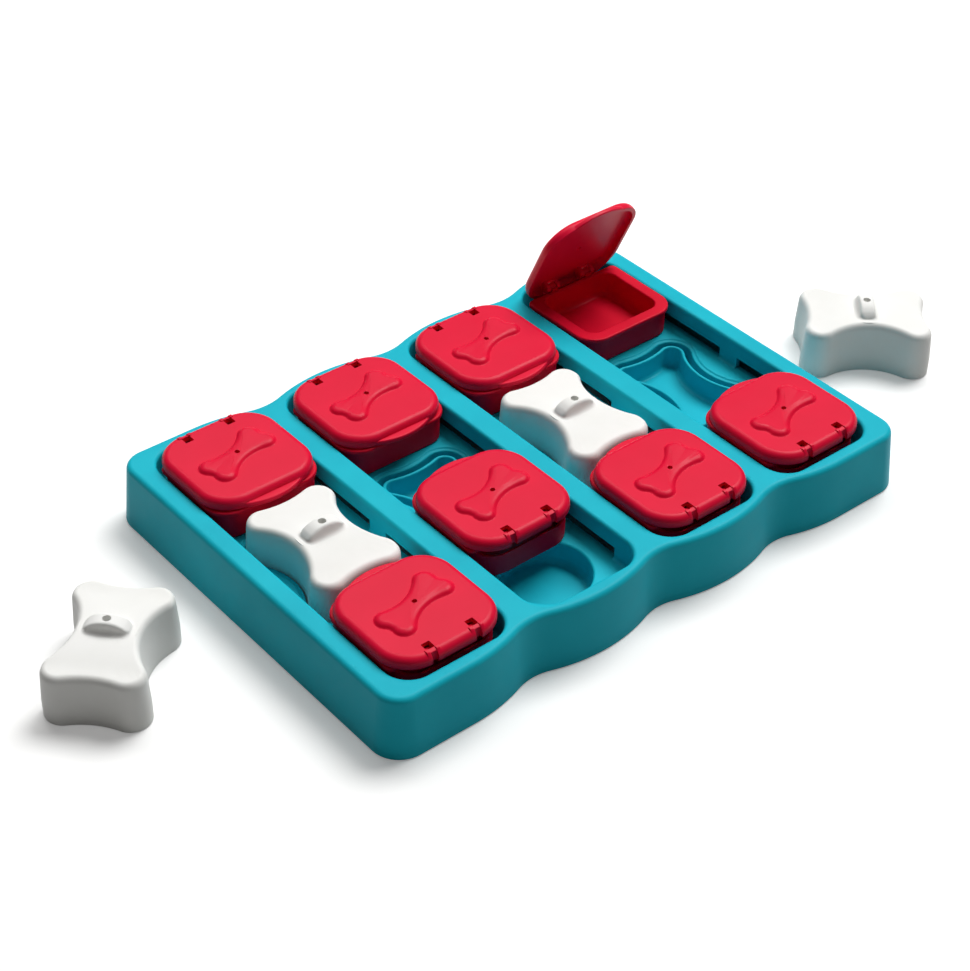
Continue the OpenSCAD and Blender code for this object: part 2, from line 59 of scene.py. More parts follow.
# lids: height, corners, wall, lift lip, hinge windows, raised bone and scent hole
LID_T, LID_R, LID_WALL, LID_ROUND, LID_ROOM = 5.8, 17.5, 2.3, 3.8, 0.3
NOSE_OUT, NOSE_W, NOSE_T, WINDOW_L, WINDOW_LAP = 4.2, 44.0, 2.6, 4.4, 0.6
RELIEF_L, RELIEF_TURN, SCENT_D = 42.0, 20.0, 2.6
# hinges: place of the axis, moulded pins, posts and lugs
HINGE_BACK, HINGE_X, PIN_D, PIN_FIT, POST_W, LUG_W = 24.2, 12.1, 2.6, 0.08, 4.0, 2.2
POST_WALL, LUG_WALL, LUG_GAP, AXIS_DROP, SWING_R = 0.9, 1.35, 0.3, 0.4, 7.2
# covers: outline, heights, grip and walls
COVER_L, COVER_W, COVER_WAIST, COVER_DIP, LOBE_R = 69.6, 49.5, 32.6, 65.0, 9.6
LOBE_H, WAIST_H, GRIP_H, GRIP_L, GRIP_T = 27.2, 29.0, 34.6, 22.0, 8.0
COVER_WALL, COVER_ROUND, COVER_DRAFT, GRIP_HOLE = 2.2, 4.0, 0.9, 4.0
# clearances: cover to box, box to lane end and corner, box and cover over the floor, lid over the cup
SEAT_GAP, END_ROOM, CORNER_ROOM, LIFT, CUP_PROUD, LID_GAP = 4.3, 1.8, 0.6, 0.3, 0.9, 0.4
# pose: open lid in degrees, slid box, and loose covers past the board's side, along Y and turned
OPEN_ANGLE, SLID = 65.4, 39.5
LOOSE_LEFT, LOOSE_RIGHT = (-62, 13, -47), (68, -21, 50)

PITCH = LANE_W + RIB_W
HOME_Y = COVER_L / 2 + SEAT_GAP + FRONT
LANE_HALF = HOME_Y + TAIL + END_ROOM
LANE_R = BOX_R + CORNER_ROOM
HALF_X = (LANES * PITCH - RIB_W) / 2 + SIDE_RIM + DRAFT
HALF_Y = LANE_HALF + END_RIM + DRAFT
WELL_Z = FLOOR_Z - WELL_DEPTH
TRAY_Z = FLOOR_Z - TRAY_WALL
BASE_Z = WELL_Z - TRAY_WALL
WALL_TOP = DECK_Z - BOARD_WALL
CUP_HW = LANE_W / 2 - PLAY
CUP_Z = FLOOR_Z + LIFT
CUP_TOP = DECK_Z + CUP_PROUD
TAB_REACH = TRAY_WALL + PLAY - TAB_ROOM
TAB_Z = FLOOR_Z + TAB_LIFT
TAB_FRONT = FRONT - 14
TAB_BACK = HINGE_BACK - 12
SLOT_IN = BRIDGE_L / 2
SLOT_OUT = HOME_Y + TAB_BACK + SLOT_ROOM
FLANGE_BACK = HINGE_BACK - 2.4
LID_HW = LANE_W / 2 - LID_ROOM
LID_Z = CUP_TOP + LID_GAP
LID_TOP = LID_Z + LID_T
BORE_R = PIN_D / 2 + PIN_FIT
LUG_R = BORE_R + LUG_WALL
POST_R = PIN_D / 2 + POST_WALL
AXIS_Z = LID_TOP - LID_WALL - POST_R - AXIS_DROP
NOTCH_Y = HINGE_BACK - LUG_R - 0.5
CAVITY_BACK = NOTCH_Y - CUP_WALL
CAVITY_HW = CUP_HW - FLANGE_W
NOTCH_HW = HINGE_X + POST_W / 2 + LUG_GAP + LUG_W + 1.2
WINDOW_HW = POST_W / 2 + LUG_GAP
WINDOW_BACK = HINGE_BACK + WINDOW_L / 2 + WINDOW_LAP
COVER_Z = FLOOR_Z - GROOVE_DEPTH + LIFT
# half width, half length, waist half width, dip half length, lobe radius
COVER_BONE = (COVER_W / 2, COVER_L / 2, COVER_WAIST / 2, COVER_DIP / 2, LOBE_R)
RELIEF_BONE = (10.0, RELIEF_L / 2, 5.3, RELIEF_L / 2 - 1.2, 5.3)

SMOOTH_ANGLE = 38
ROUND_POINTS = 60


# ---------- mesh tools ----------
def arc(cx, cy, r, a0, a1, n):
    """Points along an arc from angle a0 to a1 in degrees."""
    return [(cx + r * math.cos(math.radians(a0 + (a1 - a0) * i / n)),
             cy + r * math.sin(math.radians(a0 + (a1 - a0) * i / n))) for i in range(n + 1)]


def circle(r, n, cx=0, cy=0):
    return arc(cx, cy, r, 0, 360 - 360 / n, n - 1)


def round_rect(hx, y0, y1, rf, rb, n=10):
    """Rounded rectangle from y0 to y1, front corners rf and back corners rb."""
    return (arc(hx - rf, y1 - rf, rf, 0, 90, n) + arc(rf - hx, y1 - rf, rf, 90, 180, n)
            + arc(rb - hx, y0 + rb, rb, 180, 270, n) + arc(hx - rb, y0 + rb, rb, 270, 360, n))


def convex(r, top, n=6):
    """Inset and height along a rounded upper edge, side first."""
    turns = [math.radians(90 * i / n) for i in range(n + 1)]
    return [(r * (1 - math.cos(t)), top - r * (1 - math.sin(t))) for t in turns]


def concave(r, floor, n=6):
    """Inset and height down a wall and round into a floor."""
    turns = [math.radians(90 * i / n) for i in range(n + 1)]
    return [(r * (1 - math.cos(t)), floor + r * (1 - math.sin(t))) for t in turns]


def ring(bm, pts, z):
    """Loop of points at a height, which may depend on the place."""
    return [bm.verts.new((x, y, z(x, y) if callable(z) else z)) for x, y in pts]


def wrap(bm, rings):
    """Walls between neighbouring rings."""
    for a, b in zip(rings, rings[1:]):
        for i in range(len(a)):
            j = (i + 1) % len(a)
            bm.faces.new((a[i], a[j], b[j], b[i]))


def fill(bm, loops):
    """Flat sheet between an outer loop and the holes in it."""
    edges = []
    for loop in loops:
        for i in range(len(loop)):
            pair = (loop[i - 1], loop[i])
            edges.append(bm.edges.get(pair) or bm.edges.new(pair))
    bmesh.ops.triangle_fill(bm, edges=edges, use_beauty=True)


def to_object(bm):
    bmesh.ops.recalc_face_normals(bm, faces=bm.faces)
    mesh = bpy.data.meshes.new("form")
    bm.to_mesh(mesh)
    bm.free()
    obj = bpy.data.objects.new("form", mesh)
    bpy.context.scene.collection.objects.link(obj)
    return obj


def loft(rings):
    """Closed solid between rings of (points, height), flat at both ends."""
    bm = bmesh.new()
    made = [ring(bm, pts, z) for pts, z in rings]
    wrap(bm, made)
    bm.faces.new(made[0])
    bm.faces.new(made[-1])
    return to_object(bm)


def block(x0, x1, y0, y1, z0, z1, r=0.0, n=3):
    """Box with rounded upright edges."""
    if r:
        pts = round_rect((x1 - x0) / 2, y0, y1, r, r, n)
        pts = [(x + (x0 + x1) / 2, y) for x, y in pts]
    else:
        pts = [(x1, y1), (x0, y1), (x0, y0), (x1, y0)]
    return loft([(pts, z0), (pts, z1)])


def spindle(stations, y, z, n=40):
    """Round solid along X through stations of (x, radius)."""
    bm = bmesh.new()
    rings = [[bm.verts.new((x, y + a, z + b)) for a, b in circle(r, n)] for x, r in stations]
    wrap(bm, rings)
    bm.faces.new(rings[0])
    bm.faces.new(rings[-1])
    return to_object(bm)


def rod(r, x0, x1, y, z):
    return spindle([(x0, r), (x1, r)], y, z)


def baked(obj):
    """The object's mesh with its modifiers applied."""
    dg = bpy.context.evaluated_depsgraph_get()
    mesh = bpy.data.meshes.new_from_object(obj.evaluated_get(dg))
    old = obj.data
    obj.modifiers.clear()
    obj.data = mesh
    bpy.data.meshes.remove(old)
    return obj


def combine(obj, others, how):
    """Joins, cuts or intersects with the others, which are used up."""
    for other in others:
        m = obj.modifiers.new("b", "BOOLEAN")
        m.operation = how
        m.object = other
        m.solver = "EXACT"
        baked(obj)
        mesh = other.data
        bpy.data.objects.remove(other)
        bpy.data.meshes.remove(mesh)
    return obj


def join(obj, *others):
    return combine(obj, others, "UNION")


def cut(obj, *others):
    return combine(obj, others, "DIFFERENCE")


def common(obj, other):
    return combine(obj, [other], "INTERSECT")


def soften(obj, width, angle=50):
    """Small radius on the edges that are sharper than an angle."""
    m = obj.modifiers.new("bevel", "BEVEL")
    m.width = width
    m.segments = 2
    m.limit_method = "ANGLE"
    m.angle_limit = math.radians(angle)
    m.use_clamp_overlap = True
    return baked(obj)


def form(obj):
    """Takes a finished form's mesh in metres, ready to be placed several times."""
    mesh = obj.data
    for p in mesh.polygons:
        p.use_smooth = True
    mesh.set_sharp_from_angle(angle=math.radians(SMOOTH_ANGLE))
    mesh.transform(Matrix.Scale(MM, 4))
    bpy.data.objects.remove(obj)
    return mesh


def place(mesh, name, matrix, material, body, nodes, slanted=False):
    """Puts a form in the place of its CAD nodes. A slanted piece takes its place and turn
    into its own mesh, which keeps its box tight."""
    if not mesh.materials:
        mesh.materials.append(material)
    if slanted:
        mesh = mesh.copy()
        mesh.transform(matrix)
        matrix = Matrix()
    obj = bpy.data.objects.new(name, mesh)
    bpy.context.scene.collection.objects.link(obj)
    obj.matrix_world = matrix
    m = obj.modifiers.new("even", "WEIGHTED_NORMAL")
    m.keep_sharp = True
    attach(obj, body)
    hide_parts(*nodes)
    return obj


def shift(x, y, z):
    """Move given in millimetres."""
    return Matrix.Translation(Vector((x, y, z)) * MM)


# ---------- outlines ----------
def board_pts(d):
    """Outline of the board with scalloped long edges, drawn in by d."""
    half = PITCH / 2
    total = (half * half + SCALLOP_DEPTH ** 2) / (2 * SCALLOP_DEPTH)
    bulge = total - SCALLOP_R
    phi = math.degrees(math.asin(half / total))
    by = HALF_Y - bulge
    sy = HALF_Y - SCALLOP_DEPTH + SCALLOP_R
    rear = []
    for k in range(LANES):
        x = (LANES - 1) * half - k * PITCH
        a0 = 0 if k == 0 else phi
        a1 = 0 if k == LANES - 1 else phi
        rear += arc(x, by, bulge - d, 90 - a0, 90 + a1, 20 if a0 and a1 else 10)
        if k < LANES - 1:
            rear += arc(x - half, sy, SCALLOP_R + d, 270 + phi, 270 - phi, 16)[1:-1]
    r = CORNER_R - d
    hx, hy = HALF_X - d, HALF_Y - d
    return (arc(hx - r, hy - r, r, 0, 90, 12) + rear + arc(r - hx, hy - r, r, 90, 180, 12)
            + arc(r - hx, r - hy, r, 180, 270, 12) + [(-x, -y) for x, y in rear]
            + arc(hx - r, r - hy, r, 270, 360, 12))


def lane_pts(g, i=None):
    """Outline of a lane, let out by g, in its place or centred."""
    x0 = 0 if i is None else lane_x(i)
    pts = round_rect(LANE_W / 2 + g, -LANE_HALF - g, LANE_HALF + g, LANE_R + g, LANE_R + g, 12)
    return [(x + x0, y) for x, y in pts]


def bone_pts(d, bone=COVER_BONE, n=10):
    """Outline of a bone, drawn in by d."""
    hw, hl, waist, dip, lobe = bone
    lx, ly = hw - lobe, hl - lobe
    a, e = waist - hw + lobe, dip - hl + lobe
    rs = (a * a + ly * ly - lobe * lobe) / (2 * (lobe - a))
    re = (e * e + lx * lx - lobe * lobe) / (2 * (lobe - e))
    cx, cy = waist + rs, dip + re
    at_s, at_e = math.atan2(ly, cx - lx), math.atan2(lx, cy - ly)
    q = [(cx - (rs + d) * math.cos(at_s * i / n), (rs + d) * math.sin(at_s * i / n)) for i in range(n + 1)]
    for i in range(1, 2 * n + 1):
        t = -at_s + (math.pi / 2 + at_e + at_s) * i / (2 * n)
        q.append((lx + (lobe - d) * math.cos(t), ly + (lobe - d) * math.sin(t)))
    for i in range(1, n):
        t = at_e * (1 - i / (n - 1))
        q.append(((re + d) * math.sin(t), cy - (re + d) * math.cos(t)))
    m = len(q)
    return (q + [(-q[i][0], q[i][1]) for i in range(m - 2, -1, -1)]
            + [(-q[i][0], -q[i][1]) for i in range(1, m)]
            + [(q[i][0], -q[i][1]) for i in range(m - 2, 0, -1)])


def lane_x(i):
    return (i - (LANES + 1) / 2) * PITCH


# ---------- board ----------
def board():
    """Deck and flared skirt, open underneath."""
    bm = bmesh.new()
    profile = [(d + DRAFT, z) for d, z in reversed(convex(DECK_ROUND, DECK_Z, 8))]
    profile += [(0.0, 0.7), (0.2, 0.2), (0.7, 0.0)]
    profile += [(BOARD_WALL, 0.0), (BOARD_WALL + DRAFT, WALL_TOP)]
    rings = [ring(bm, board_pts(d), z) for d, z in profile]
    wrap(bm, rings)
    tops, floors = [], []
    for i in range(1, LANES + 1):
        mouth = convex(MOUTH_ROUND, DECK_Z, 6)[::-1] + [(0.0, WALL_TOP)]
        rs = [ring(bm, lane_pts(g, i), z) for g, z in mouth]
        wrap(bm, rs)
        tops.append(rs[0])
        floors.append(rs[-1])
    fill(bm, [rings[0]] + tops)
    fill(bm, [rings[-1]] + floors)
    return form(to_object(bm))


def lane_channel():
    """Walls and floor of a lane, with guide slots and the mouths of wells and seat."""
    bm = bmesh.new()
    inside = [(0.0, WALL_TOP)] + [(-d, z) for d, z in concave(LANE_FILLET, FLOOR_Z, 5)]
    rings = [ring(bm, lane_pts(g), z) for g, z in inside]
    outside = [(TRAY_WALL, WALL_TOP), (TRAY_WALL, TRAY_Z + 1.0), (TRAY_WALL - 1.0, TRAY_Z)]
    outer = [ring(bm, lane_pts(g), z) for g, z in outside]
    wrap(bm, rings)
    wrap(bm, [rings[0]] + outer)
    tops, floors = [], []
    for sy in (-1, 1):
        mouth = [(WELL_R + d, z) for d, z in reversed(convex(WELL_ROUND, FLOOR_Z, 5))] + [(WELL_R, TRAY_Z)]
        rs = [ring(bm, circle(r, ROUND_POINTS, cy=sy * HOME_Y), z) for r, z in mouth]
        wrap(bm, rs)
        tops.append(rs[0])
        floors.append(rs[-1])
    # the seat's edge goes down in two soft steps: distance out and down
    steps = [(2.6, 0.0), (2.1, 0.2), (1.85, 0.6), (1.5, 0.82), (0.7, 0.88), (0.3, 1.05), (0.0, 1.5)]
    edge = [(-GROOVE_GAP - out, FLOOR_Z - down) for out, down in steps] + [(-GROOVE_GAP, TRAY_Z)]
    rs = [ring(bm, bone_pts(d), z) for d, z in edge]
    wrap(bm, rs)
    fill(bm, [rings[-1], rs[0]] + tops)
    fill(bm, [outer[-1], rs[-1]] + floors)
    obj = to_object(bm)
    for sx in (-1, 1):
        for sy in (-1, 1):
            y0, y1 = (SLOT_IN, SLOT_OUT) if sy > 0 else (-SLOT_OUT, -SLOT_IN)
            x = sx * (LANE_W / 2 + TRAY_WALL / 2)
            cut(obj, block(x - SLOT_CUT, x + SLOT_CUT, y0, y1, FLOOR_Z, FLOOR_Z + SLOT_H))
    return form(obj)


def end_well():
    """Round pocket under a box's home place."""
    wide = WELL_R + TRAY_WALL
    under = [(wide - 0.4, TRAY_Z), (wide - 0.4, BASE_Z + 2.0)]
    under += [(wide - 1.0, BASE_Z + 0.6), (wide - 2.4, BASE_Z)]
    inside = [(0.0, TRAY_Z)] + concave(WELL_FILLET, WELL_Z, 6)
    bm = bmesh.new()
    outer = [ring(bm, circle(r, ROUND_POINTS), z) for r, z in under]
    inner = [ring(bm, circle(WELL_R - d, ROUND_POINTS), z) for d, z in inside]
    wrap(bm, outer)
    wrap(bm, [outer[0]] + inner)
    bm.faces.new(outer[-1])
    bm.faces.new(inner[-1])
    return form(to_object(bm))


def cover_seat():
    """Bone-shaped pocket: groove for the cover's wall, rounded rim and treat well."""
    rim = COVER_WALL + 0.6
    low = FLOOR_Z - GROOVE_DEPTH
    crest = FLOOR_Z - 0.4
    crest_r = 0.9
    gap = -GROOVE_GAP
    bm = bmesh.new()
    prof = [(gap - TRAY_WALL + 0.4, BASE_Z + 0.8), (gap - TRAY_WALL + 0.4, TRAY_Z), (gap, TRAY_Z)]
    prof += [(gap, low + 0.6), (gap + 0.2, low + 0.2), (gap + 0.6, low)]
    prof += [(rim - 0.5, low), (rim - 0.1, low + 0.2), (rim, low + 0.7), (rim, crest - crest_r)]
    for degrees in (22, 45, 67, 90, 113, 135, 158):
        t = math.radians(degrees)
        prof.append((rim + RIM_T / 2 * (1 - math.cos(t)), crest - crest_r * (1 - math.sin(t))))
    prof += [(rim + RIM_T, crest - crest_r)]
    prof += [(rim + RIM_T + d, z) for d, z in concave(SEAT_FILLET, WELL_Z, 5)]
    rings = [ring(bm, bone_pts(d), z) for d, z in prof]
    under = ring(bm, bone_pts(gap - TRAY_WALL + 1.2), BASE_Z)
    wrap(bm, [under] + rings)
    bm.faces.new(under)
    bm.faces.new(rings[-1])
    return form(to_object(bm))


# ---------- boxes ----------
def flange_ring(d):
    return round_rect(CUP_HW - d, d - FLANGE_BACK, FRONT - d, BOX_R - d, 3 - d, 14)


def skirt_ring(d):
    return round_rect(CUP_HW - STEP - d, d - CUP_TAIL, FRONT - STEP - d, BOX_R - STEP - d, REAR_R - d, 14)


def cavity_ring(d):
    r = CAVITY_R - d
    return round_rect(CAVITY_HW - d, d - CAVITY_BACK, FRONT - FLANGE_W - d, r, r, 10)


def swing_room():
    """Room for the lid's tail when it swings down, narrower at its round corners."""
    straight = LID_HW - LID_R + 3.2
    end, narrow = straight + 11, SWING_R - 2.8
    stations = [(-end, narrow), (-straight, SWING_R), (straight, SWING_R), (end, narrow)]
    room = spindle(stations, -HINGE_BACK, AXIS_Z, 72)
    return common(room, block(-CUP_HW, CUP_HW, -2 * TAIL, 0.3 - FLANGE_BACK, 0, 3 * CUP_TOP))


def behind(x, y):
    """Room inside the cup's skirt, behind y and not farther out than x."""
    room = loft([(skirt_ring(CUP_WALL), CUP_Z - 1), (skirt_ring(CUP_WALL), CUP_TOP + 2)])
    return common(room, block(-x, x, -2 * TAIL, -y, CUP_Z - 2, CUP_TOP + 3))


def box_cup():
    """Sliding cup: flange over a skirt, open compartment, hinge posts with pins, guide tabs."""
    low = CUP_TOP - FLANGE_T
    flange = loft([(flange_ring(0.5), low), (flange_ring(0.1), low + 0.3), (flange_ring(0.0), low + 0.7)]
                  + [(flange_ring(d), z) for d, z in convex(0.9, CUP_TOP, 5)])
    obj = loft([(skirt_ring(0.5), CUP_Z), (skirt_ring(0.1), CUP_Z + 0.4), (skirt_ring(0.0), CUP_Z + 0.9),
                (skirt_ring(0.0), CUP_TOP - 0.2)])
    obj = join(cut(obj, swing_room()), flange)
    cavity = [(cavity_ring(d), z) for d, z in reversed(concave(3.0, CUP_Z + CUP_WALL, 6))]
    cavity += [(cavity_ring(-d), z) for d, z in convex(0.9, CUP_TOP, 5)]
    cavity.append((cavity_ring(-0.9), CUP_TOP + 3))
    compartment = round_rect(CAVITY_HW + CUP_WALL, -NOTCH_Y, FRONT - FLANGE_W + CUP_WALL,
                             CAVITY_R + CUP_WALL, CAVITY_R, 10)
    hollow = cut(loft([(skirt_ring(CUP_WALL), CUP_Z - 1), (skirt_ring(CUP_WALL), low)]),
                 loft([(compartment, CUP_Z - 2), (compartment, low + 2)]))
    cut(obj, loft(cavity), hollow, behind(CUP_HW, FLANGE_BACK), behind(NOTCH_HW, NOTCH_Y))
    soften(obj, 0.3)
    for s in (-1, 1):
        x = s * HINGE_X
        post = rod(POST_R, x - POST_W / 2, x + POST_W / 2, -HINGE_BACK, AXIS_Z)
        arm = block(x - POST_W / 2, x + POST_W / 2, -HINGE_BACK, 0.5 - NOTCH_Y, AXIS_Z - POST_R, AXIS_Z)
        half = POST_W / 2 + LUG_GAP + LUG_W
        join(obj, soften(join(post, arm), 0.25), rod(PIN_D / 2, x - half, x + half, -HINGE_BACK, AXIS_Z))
        for y in (-TAB_BACK, TAB_FRONT - TAB_L):
            x0 = CUP_HW - STEP - TAB_ROOT if s > 0 else -(CUP_HW + TAB_REACH)
            tab = block(x0, x0 + TAB_REACH + STEP + TAB_ROOT, y, y + TAB_L, TAB_Z, TAB_Z + TAB_H)
            join(obj, soften(tab, 0.5))
    return form(obj)


def lid_ring(d):
    return round_rect(LID_HW - d, d - TAIL, FRONT - d, LID_R - d, LID_R - d, 18)


def relief_solid():
    """Bone raised on the lid, with a hollowed foot and full lobes."""
    def height(h):
        def z(x, y):
            q = min((abs(x) - 4.6) ** 2 + (abs(y) - 15.8) ** 2, 60)
            return LID_TOP + h * (1 + 0.32 * math.exp(-q / 13))
        return z
    steps = [(-0.9, -0.1), (-0.5, 0.05), (-0.1, 0.25), (0.25, 0.7), (0.7, 1.15), (1.3, 1.48), (2.1, 1.68),
             (3.0, 1.75)]
    obj = loft([(bone_pts(-0.9, RELIEF_BONE), LID_TOP - 1.2)]
               + [(bone_pts(d, RELIEF_BONE), height(h)) for d, h in steps])
    obj.data.transform(Matrix.Rotation(math.radians(RELIEF_TURN - 90), 4, "Z"))
    return obj


def lip_pts(d):
    """Crescent lift lip in front of the lid, closed by a straight back inside it."""
    reach = NOSE_OUT + 4
    r = (NOSE_W ** 2 / 4 + reach ** 2) / (2 * reach)
    cy = FRONT + NOSE_OUT - r
    x1 = NOSE_W / 2 - 0.6 - d * 0.8
    curve = [(x, cy + math.sqrt((r - d) ** 2 - x * x)) for x in (x1 * (1 - i / 12) for i in range(25))]
    return curve + [(-x1, FRONT - 6), (x1, FRONT - 6)]


def ear(x):
    """Knuckle at the lid's tail edge, one on each side of a hinge post."""
    body = rod(SWING_R - 0.35, x - 0.9, x + 0.9, -HINGE_BACK, AXIS_Z)
    edge = block(x - 3, x + 3, 0.1 - TAIL, 4.2 - TAIL, LID_Z + 1.2, LID_TOP + 0.45)
    return soften(common(body, edge), 0.3)


def box_lid():
    """Lid with a dished underside, lift lip, raised bone, scent hole and hinge lugs."""
    inner = LID_TOP - LID_WALL
    base = [(lid_ring(0.5), LID_Z), (lid_ring(0.1), LID_Z + 0.15), (lid_ring(0.0), LID_Z + 0.5)]
    obj = loft(base + [(lid_ring(d), z) for d, z in convex(LID_ROUND, LID_TOP, 10)])
    lip = [(lip_pts(0.4), LID_Z), (lip_pts(0.0), LID_Z + 0.5)]
    lip += [(lip_pts(d), z) for d, z in convex(0.9, LID_Z + NOSE_T, 4)]
    ears = [ear(s * HINGE_X + t * 2.7) for s in (-1, 1) for t in (-1, 1)]
    join(obj, loft(lip), relief_solid(), *ears)
    dish = [(lid_ring(LID_WALL), LID_Z - 1)]
    dish += [(lid_ring(LID_WALL + d), z) for d, z in convex(2.6, inner, 6)]
    hole = circle(SCENT_D / 2, 24)
    cut(obj, loft(dish), loft([(hole, LID_Z), (hole, LID_TOP + 5)]))
    for s in (-1, 1):
        x = s * HINGE_X
        window = block(x - WINDOW_HW, x + WINDOW_HW, -WINDOW_BACK, WINDOW_L - WINDOW_BACK,
                       LID_Z, LID_TOP + 3, 0.4)
        gap = block(x - 1.7, x + 1.7, -TAIL - 1, 1.9 - TAIL, LID_Z - 1, LID_TOP + 3, 0.4)
        cut(obj, window, gap)
    soften(obj, 0.22, 55)
    for s in (-1, 1):
        for t in (-1, 1):
            x = s * HINGE_X + t * (POST_W / 2 + LUG_GAP + LUG_W / 2)
            lug = rod(LUG_R, x - LUG_W / 2, x + LUG_W / 2, -HINGE_BACK, AXIS_Z)
            lug = join(lug, block(x - LUG_W / 2, x + LUG_W / 2, -HINGE_BACK - LUG_R, LUG_R - HINGE_BACK,
                                  AXIS_Z, inner + 0.5))
            cut(lug, rod(BORE_R, x - LUG_W, x + LUG_W, -HINGE_BACK, AXIS_Z))
            join(obj, soften(lug, 0.15))
    return form(obj)


# ---------- covers ----------
def saddle(x, y):
    """Height of the cover's top, highest at the waist."""
    return WAIST_H - (WAIST_H - LOBE_H) * min(1.0, (y / (COVER_L / 2 - LOBE_R)) ** 2)


def over(drop):
    """Surface that lies lower than the cover's top."""
    return lambda x, y: saddle(x, y) - drop


def scaled(pts, k):
    return [(x * k, y * k) for x, y in pts]


def cover_outer():
    """Outside of a cover: upright foot, drafted wall, rounded edge and domed top."""
    f = COVER_ROUND
    rings = [(bone_pts(0.5), 0.0), (bone_pts(0.1), 0.2), (bone_pts(0.0), 0.6), (bone_pts(0.0), GROOVE_DEPTH)]
    for d, z in convex(f, 0.0, 9):
        rings.append((bone_pts(COVER_DRAFT + d * (1 - COVER_DRAFT / f)), over(-z)))
    inner = bone_pts(f)
    rings += [(scaled(inner, k), over(0.0)) for k in (0.93, 0.84, 0.74, 0.63, 0.51, 0.38, 0.24, 0.1)]
    return loft(rings)


def grip():
    """Low ridge across the waist, with a spreading foot and a rounded crest."""
    reach = GRIP_L / 2 + 0.6
    hx, hy, corner = reach - 1, GRIP_T / 2, 2.6

    def height(part):
        def z(x, y):
            top = GRIP_H - (GRIP_H - WAIST_H) * min(abs(x) / reach, 1.0) ** 2.6
            base = saddle(x, y) - 0.06
            return base + max(0.0, top - base) * part
        return z

    def outline(e):
        right = [(x + hx - corner, y + hy - corner) for x, y in arc(0, 0, corner + e, 0, 90, 6)]
        span = [((hx - corner) * (1 - m / 6), hy + e) for m in range(1, 7)]
        half = right + span + [(-x, y) for x, y in (right + span[:-1])[::-1]]
        return half + [(x, -y) for x, y in half[::-1]]
    # spread of the outline and share of the height, from the foot up to the crest
    foot = 3.0
    steps = [(foot, 0.0), (2.1, 0.03), (1.35, 0.1), (0.75, 0.21), (0.35, 0.36), (0.1, 0.54), (0.0, 0.7),
             (-0.15, 0.82), (-0.5, 0.92), (-1.0, 0.98), (-1.7, 1.0)]
    bm = bmesh.new()
    low = ring(bm, outline(foot), over(1.2))
    made = [low] + [ring(bm, outline(e), height(p)) for e, p in steps]
    wrap(bm, made)
    bm.faces.new(low)
    top = made[-1]
    n = len(top)
    for i in range(n // 2 - 1):
        bm.faces.new((top[i], top[i + 1], top[n - 2 - i], top[n - 1 - i]))
    return to_object(bm)


def bone_cover():
    """Hollow cover with its grip and scent hole."""
    w = COVER_WALL
    f = COVER_ROUND - w
    obj = join(cover_outer(), grip())
    rings = [(bone_pts(w), -1.0)]
    rings += [(bone_pts(w + d), over(w - z)) for d, z in convex(f, 0.0, 5)]
    core = bone_pts(w + f)
    rings += [(scaled(core, k), over(w)) for k in (0.8, 0.55, 0.3, 0.1)]
    hole = circle(GRIP_HOLE / 2, 36)
    cut(obj, loft(rings), loft([(hole, LOBE_H - 8), (hole, GRIP_H + 5)]))
    soften(obj, 0.25, 60)
    return form(obj)


# ---------- materials ----------
def linear(c):
    """Linear light from an sRGB value of 0 to 255."""
    c = c / 255
    return c / 12.92 if c <= 0.04045 else ((c + 0.055) / 1.055) ** 2.4


def colour(r, g, b):
    return (linear(r), linear(g), linear(b), 1.0)


# scale and detail of the noise that each effect follows
CLOUDS, GLOSS, GRAIN = (34, 3), (90, 4), (1400, 2)


def plastic(name, light, dark, rough, grain, sheen):
    """Moulded plastic: cloudy tint, uneven gloss and a fine moulded grain."""
    mat = bpy.data.materials.new(name)
    mat.use_nodes = True
    nt = mat.node_tree
    nt.nodes.clear()
    out = nt.nodes.new("ShaderNodeOutputMaterial")
    bsdf = nt.nodes.new("ShaderNodeBsdfPrincipled")
    nt.links.new(bsdf.outputs[0], out.inputs[0])
    coord = nt.nodes.new("ShaderNodeTexCoord")

    def noise(scale, detail):
        n = nt.nodes.new("ShaderNodeTexNoise")
        n.inputs["Scale"].default_value = scale
        n.inputs["Detail"].default_value = detail
        nt.links.new(coord.outputs["Object"], n.inputs["Vector"])
        return n.outputs["Fac"]
    ramp = nt.nodes.new("ShaderNodeValToRGB")
    ramp.color_ramp.elements[0].position = 0.32
    ramp.color_ramp.elements[1].position = 0.68
    ramp.color_ramp.elements[0].color = dark
    ramp.color_ramp.elements[1].color = light
    nt.links.new(noise(*CLOUDS), ramp.inputs[0])
    nt.links.new(ramp.outputs[0], bsdf.inputs["Base Color"])
    rng = nt.nodes.new("ShaderNodeMapRange")
    rng.inputs["To Min"].default_value = rough - 0.05
    rng.inputs["To Max"].default_value = rough + 0.07
    nt.links.new(noise(*GLOSS), rng.inputs["Value"])
    nt.links.new(rng.outputs["Result"], bsdf.inputs["Roughness"])
    bump = nt.nodes.new("ShaderNodeBump")
    bump.inputs["Strength"].default_value = grain
    bump.inputs["Distance"].default_value = 0.0002
    nt.links.new(noise(*GRAIN), bump.inputs["Height"])
    nt.links.new(bump.outputs[0], bsdf.inputs["Normal"])
    bsdf.inputs["IOR"].default_value = 1.47
    bsdf.inputs["Specular IOR Level"].default_value = sheen
    return mat


teal = plastic("board_plastic", colour(26, 189, 208), colour(22, 181, 201), 0.42, 0.10, 0.10)
red = plastic("box_plastic", colour(228, 12, 50), colour(218, 10, 46), 0.38, 0.07, 0.12)
lid_red = plastic("lid_plastic", colour(233, 12, 58), colour(226, 10, 54), 0.38, 0.07, 0.17)
white = plastic("cover_plastic", colour(248, 248, 245), colour(243, 243, 239), 0.42, 0.07, 0.12)

